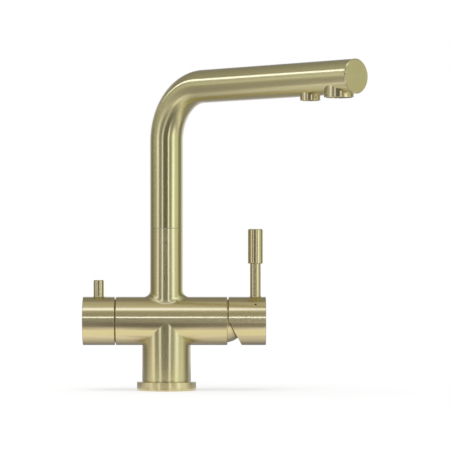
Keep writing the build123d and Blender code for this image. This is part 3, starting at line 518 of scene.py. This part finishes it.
# Over the tap, in degrees from the camera, over the top, to the back.
OVER = [(0, 0.20), (20, 0.28), (30, 0.36), (44, 0.42), (50, 0.70), (53, 1.35), (61, 1.35),
        (66, 0.70), (74, 0.60), (100, 0.50), (108, 0.32), (135, 0.26),
        (150, 0.26), (155, 0.80), (165, 0.80), (170, 0.45), (180, 0.50)]


def smooth_step(tree, value, low, high):
    """0 up to low, 1 from high on, and smooth between. Low may also be the larger number."""
    return add(tree, "ShaderNodeMapRange", {"Value": value, "From Min": low, "From Max": high},
               interpolation_type="SMOOTHSTEP").outputs[0]


def cloth_ramp(tree, angle, stops):
    """Brightness by an angle in radians, from a list of (degrees, brightness up to 2)."""
    low, high = stops[0][0], stops[-1][0]
    share = add(tree, "ShaderNodeMapRange",
                {"Value": angle, "From Min": math.radians(low), "From Max": math.radians(high)})
    node = add(tree, "ShaderNodeValToRGB", {"Fac": share.outputs[0]})
    points = node.color_ramp.elements
    for degrees, value in stops[1:-1]:
        points.new((degrees - low) / (high - low)).color = [value / 2] * 3 + [1]
    points[0].color = [stops[0][1] / 2] * 3 + [1]
    points[-1].color = [stops[-1][1] / 2] * 3 + [1]
    return number_math(tree, "MULTIPLY", node.outputs[0], 2.0)


CLOTH_TINT, LAMP_TINT = (1.0, 0.98, 0.98), (0.97, 1.03, 1.45)     # unbleached cloth, cool lamps
RIGHT_TINT, LOW_TINT = (0.97, 1.05, 0.90), (1.0, 0.97, 1.12)      # greener side, table's cloth
LAMP_FROM, LAMP_TO = 0.5, 1.2           # brightness where the cloth's colour turns to a lamp's
RIGHT_FROM, RIGHT_TO = 0.15, 0.7        # how far to the right the light turns greener


def light_colour(tree, brightness, sideways):
    """The light's colour: warm where the cloth is dim, cool in the lamps, greener on the right."""
    lamp = smooth_step(tree, brightness, LAMP_FROM, LAMP_TO)
    right = smooth_step(tree, sideways, RIGHT_FROM, RIGHT_TO)
    tint = mix(tree, lamp, CLOTH_TINT, LAMP_TINT, "VECTOR")
    return vector_math(tree, "MULTIPLY", tint, mix(tree, right, (1, 1, 1), RIGHT_TINT, "VECTOR"))


OVER_LIFTS = (20, 30)                   # from level, degrees over which OVER takes over
LEFT_LOW, LEFT_HIGH = 0.50, 0.80        # the left side's share of the brightness, low and high
LEFT_FROM, LEFT_TO = -0.5, -0.85        # where the left side starts and where it is full
HIGH_FROM, HIGH_TO = 0.03, 0.22         # where low turns to high
SECOND_IMAGE = 0.5                      # the most that a mirror image of a mirror image glows
print("cloth panels round and over:", len(ROUND), len(OVER))


# %% Make the light tent
def start_glow(name):
    """A new material that glows with a brightness, linked later to its Strength."""
    material = bpy.data.materials.new(name)
    material.use_nodes = True
    material.cycles.emission_sampling = "NONE"      # found by reflected rays alone: less noise
    tree = material.node_tree
    tree.nodes.clear()
    glow = add(tree, "ShaderNodeEmission")
    add(tree, "ShaderNodeOutputMaterial", {"Surface": glow.outputs[0]})
    return material, tree, glow


def first_image(tree):
    """1 for what a surface in view mirrors, 0 for what is mirrored in a mirror image."""
    depth = add(tree, "ShaderNodeLightPath").outputs["Ray Depth"]
    return number_math(tree, "LESS_THAN", depth, 1.5)


def without_glints(tree, brightness):
    """Caps the brightness in mirrored mirror images, which would come out as speckle."""
    capped = number_math(tree, "MINIMUM", brightness, SECOND_IMAGE)
    return mix(tree, first_image(tree), capped, brightness)


def only_in_reflections(obj):
    """Keeps a card out of the camera's sight and out of the lamps' way."""
    obj.visible_camera = False
    obj.visible_diffuse = False
    obj.visible_transmission = False
    obj.visible_shadow = False


def mesh_object(name, build, material):
    """A new object at the origin whose mesh a function fills with bmesh."""
    mesh = bpy.data.meshes.new(name)
    form = bmesh.new()
    build(form)
    form.to_mesh(mesh)
    form.free()
    mesh.materials.append(material)
    obj = bpy.data.objects.new(name, mesh)
    bpy.context.scene.collection.objects.link(obj)
    return obj


material, tree, glow = start_glow("grey_cloth_with_white_panels")
away = vector_math(tree, "NORMALIZE",
                   vector_math(tree, "SUBTRACT", place_of(tree), TENT_MIDDLE))
way = add(tree, "ShaderNodeSeparateXYZ", {"Vector": away}).outputs
forward = number_math(tree, "MULTIPLY", way["Y"], -1.0)
round_glow = cloth_ramp(tree, number_math(tree, "ARCTAN2", way["X"], forward), ROUND)
over_glow = cloth_ramp(tree, number_math(tree, "ARCTAN2", way["Z"], forward), OVER)
high_up = smooth_step(tree, way["Z"], *(math.sin(math.radians(lift)) for lift in OVER_LIFTS))
cloth = mix(tree, high_up, round_glow, over_glow)

# On the left the tent is dimmer, and most so low down.
leftwards = smooth_step(tree, way["X"], LEFT_FROM, LEFT_TO)
upwards = smooth_step(tree, way["Z"], HIGH_FROM, HIGH_TO)
left_glow = mix(tree, upwards, LEFT_LOW, LEFT_HIGH)
cloth = number_math(tree, "MULTIPLY", cloth, mix(tree, leftwards, 1.0, left_glow))
tree.links.new(without_glints(tree, cloth), glow.inputs["Strength"])
tree.links.new(light_colour(tree, cloth, way["X"]), glow.inputs["Color"])


FOOT = 1 * MM                 # the tent ends this far above the table


def dome(form):
    """The tent: the upper part of a sphere, from the floor up."""
    bmesh.ops.create_uvsphere(form, u_segments=96, v_segments=48, radius=TENT_RADIUS)
    bmesh.ops.translate(form, verts=form.verts, vec=TENT_MIDDLE)
    bmesh.ops.bisect_plane(form, geom=form.verts[:] + form.edges[:] + form.faces[:],
                           plane_co=(0, 0, FOOT), plane_no=(0, 0, 1), clear_inner=True)
    bmesh.ops.reverse_faces(form, faces=form.faces)


tent = mesh_object("light_tent", dome, material)
only_in_reflections(tent)
print("light tent faces:", len(tent.data.polygons))


# %% [markdown]
# Two strip lamps hang inside the tent, each along one cylinder: one on the left for the arm, one
# above the camera's line for the bar. A strip lamp gives a cylinder a crisp bright line. Each is
# a plain card whose glow fades at its long edges. It is linked to the pieces it is for and shows
# in no mirror image of those pieces, because a small bright lamp seen twice comes out as speckle.

# %% Hang the strip lamps
def lamp_card(name, line, along, lift, distance, reach, width, brightness, lit):
    """A glowing card along a cylinder, which only the lit nodes mirror.

    line and along are a point and the direction of the cylinder's axis. The card's middle line
    lies at a distance from it, lifted by degrees above level, and reaches from one place to
    another along it. Its width is in degrees too, as the cylinder sees it.
    """
    along = Vector(along)
    out = Vector((along.y, -along.x, 0))
    towards = out * math.cos(math.radians(lift)) + Vector((0, 0, math.sin(math.radians(lift))))
    across = along.cross(towards)
    middle = Vector(line) + towards * distance
    half = distance * math.tan(math.radians(width / 2))

    def card(form):
        corners = [middle + along * x + across * y * half for x, y in
                   ((reach[0], -1), (reach[1], -1), (reach[1], 1), (reach[0], 1))]
        form.faces.new([form.verts.new(corner) for corner in corners])

    material, tree, glow = start_glow(name + "_glow")
    off = vector_math(tree, "SUBTRACT", place_of(tree), tuple(middle))
    side = number_math(tree, "ABSOLUTE", vector_math(tree, "DOT_PRODUCT", off, tuple(across)))
    strength = number_math(tree, "MULTIPLY", smooth_step(tree, side, half, half * 0.5), brightness)
    strength = number_math(tree, "MULTIPLY", strength, first_image(tree))
    tree.links.new(strength, glow.inputs["Strength"])
    glow.inputs["Color"].default_value = [*LAMP_TINT, 1.0]
    lamp = mesh_object(name, card, material)
    only_in_reflections(lamp)
    receivers = bpy.data.collections.new(name + "_receivers")
    for node_name in lit:
        receivers.objects.link(nodes[node_name])
    lamp.light_linking.receiver_collection = receivers
    print(name, "lights", ", ".join(lit))


lamp_card("arm_strip_lamp", (0, 0, ARM_HEIGHT), AXIS_ARM, lift=42.0, distance=0.9,
          reach=(-1.6, -0.35), width=12.5, brightness=2.6,
          lit=["spout_tube", "spout_end_cap", "main_outlet_collar", "filter_outlet_collar"])
lamp_card("bar_strip_lamp", (0, 0, BAR_HEIGHT), AXIS_X, lift=17.3, distance=1.5,
          reach=(-1.3, 1.3), width=5.4, brightness=2.15,
          lit=["tap_body", "mixer_handle_cap", "filter_knob_cap", "dome_cover"])


# %% [markdown]
# The table is white, but only the part near the tap shows in the tap as white. Further out the
# tent's cloth lies on the table, so that the tap's dark lines stay dark. The cloth starts where
# the photograph's bar turns from bright to dark, about 35 degrees below level. It carries the
# tent's panels on, dimmer near the tap and on the left, where the arm's dark line mirrors it.

# %% Lay the cloth on the table
SHEET_LOW, SHEET_HIGH = (-0.20, -0.075), (0.35, -0.03)    # corners of the white part
FADE_LOW, FADE_HIGH = (0.12, 0.065), (0.12, 0.075)        # how far the white fades out
CLOTH_LIFT = 1.5 * MM                   # above the table
WHITE_BASE, WHITE_GAIN = 0.5, 0.40      # the white part's glow, and the panels' share in it
WHITE_LIMIT = 1.2                       # the most that a panel counts for there
NEAR_CLOTH = 0.30                       # the most that cloth near the tap glows
NEAR_END, FAR_START = 0.25, 0.70        # between these distances that limit ends
NEAR_LEFT, FAR_LEFT = -0.12, -0.24      # and on the left between these
LEFT_CLOTH = 0.45                       # how dim the cloth gets on the left
LEFT_CLOTH_FROM, LEFT_CLOTH_TO = -0.2, -0.42    # and where it turns dim


def cloth_round_sheet(form):
    """Four strips of cloth round the white part, just above the table, facing up."""
    far = TENT_RADIUS
    (left, front), (right, back) = SHEET_LOW, SHEET_HIGH
    for low, high in (((-far, -far), (far, front)), ((-far, back), (far, far)),
                      ((-far, front), (left, back)), ((right, front), (far, back))):
        corners = ((low[0], low[1]), (high[0], low[1]), (high[0], high[1]), (low[0], high[1]))
        form.faces.new([form.verts.new((x, y, CLOTH_LIFT)) for x, y in corners])


material, tree, glow = start_glow("grey_cloth_on_the_table")
place = place_of(tree)
way = add(tree, "ShaderNodeSeparateXYZ", {"Vector": place}).outputs
forward = number_math(tree, "MULTIPLY", way["Y"], -1.0)
round_glow = cloth_ramp(tree, number_math(tree, "ARCTAN2", way["X"], forward), ROUND)
edges = [smooth_step(tree, way["XY"[i]], corner[i] + sign * fade[i], corner[i])
         for corner, sign, fade in ((SHEET_LOW, -1, FADE_LOW), (SHEET_HIGH, 1, FADE_HIGH))
         for i in (0, 1)]
share = edges[0]
for edge in edges[1:]:
    share = number_math(tree, "MULTIPLY", share, edge)
sheet_glow = number_math(tree, "MULTIPLY_ADD",
                         number_math(tree, "MINIMUM", round_glow, WHITE_LIMIT),
                         WHITE_GAIN, WHITE_BASE)
far = smooth_step(tree, vector_math(tree, "LENGTH", place), NEAR_END, FAR_START)
far = number_math(tree, "MAXIMUM", far, smooth_step(tree, way["X"], NEAR_LEFT, FAR_LEFT))
cloth = mix(tree, far, number_math(tree, "MINIMUM", round_glow, NEAR_CLOTH), round_glow)
left_cloth = smooth_step(tree, way["X"], LEFT_CLOTH_FROM, LEFT_CLOTH_TO)
cloth = number_math(tree, "MULTIPLY", cloth, mix(tree, left_cloth, 1.0, LEFT_CLOTH))
tree.links.new(mix(tree, share, cloth, sheet_glow), glow.inputs["Strength"])
glow.inputs["Color"].default_value = [*LOW_TINT, 1.0]
table_cloth = mesh_object("table_cloth", cloth_round_sheet, material)
only_in_reflections(table_cloth)
print("white sheet", SHEET_LOW, SHEET_HIGH)


# %% [markdown]
# ## Table, background and lamp
# The table and the background are white for the camera and for reflections, and light the tap no
# more than a plain room does. The table is a matt white that takes the tap's shadow; a little
# glow of its own makes up the rest to white. One wide soft lamp hangs overhead.

# %% Table and background
def seen(tree):
    """1 for a ray from the camera, or one that a reflection or a clear piece sends on."""
    path = add(tree, "ShaderNodeLightPath").outputs
    either = number_math(tree, "MAXIMUM", path["Is Camera Ray"], path["Is Glossy Ray"])
    return number_math(tree, "MAXIMUM", either, path["Is Transmission Ray"])


TABLE_GLOW = 0.56             # what the light on the table lacks to white
TABLE_REACH = 30.0            # metres to each side
ROOM_LIGHT = 0.6              # what the white room gives as light; seen, it is white
LAMP_ENERGY, LAMP_SPREAD = 1.3, 50      # the spread in degrees
LAMP_FROM_WHERE = (-0.3, -0.5, 1.8)     # the lamp is up, a little in front and to the left

material = bpy.data.materials.new("matt_white_table")
material.use_nodes = True
tree = material.node_tree
tree.nodes.clear()
matt = add(tree, "ShaderNodeBsdfDiffuse", {"Color": linear("B4B4B4")})
strength = number_math(tree, "MULTIPLY", seen(tree), TABLE_GLOW)
glow = add(tree, "ShaderNodeEmission", {"Strength": strength})
both = add(tree, "ShaderNodeAddShader", {0: matt.outputs[0], 1: glow.outputs[0]})
add(tree, "ShaderNodeOutputMaterial", {"Surface": both.outputs[0]})
table = mesh_object("table", lambda form: bmesh.ops.create_grid(
    form, x_segments=1, y_segments=1, size=TABLE_REACH), material)

world = bpy.data.worlds.new("white_room")
bpy.context.scene.world = world
world.use_nodes = True
tree = world.node_tree
tree.nodes.clear()
strength = mix(tree, seen(tree), ROOM_LIGHT, 1.0)
room = add(tree, "ShaderNodeBackground", {"Color": linear("FFFFFF"), "Strength": strength})
add(tree, "ShaderNodeOutputWorld", {"Surface": room.outputs[0]})

lamp = bpy.data.lights.new("soft_lamp", "SUN")
lamp.angle = math.radians(LAMP_SPREAD)
lamp.energy = LAMP_ENERGY
lamp_object = bpy.data.objects.new("soft_lamp", lamp)
lamp_object.rotation_euler = Vector(LAMP_FROM_WHERE).to_track_quat("Z", "Y").to_euler()
lamp_object.visible_glossy = False
bpy.context.scene.collection.objects.link(lamp_object)
print("table glow", TABLE_GLOW, "lamp", lamp.energy)
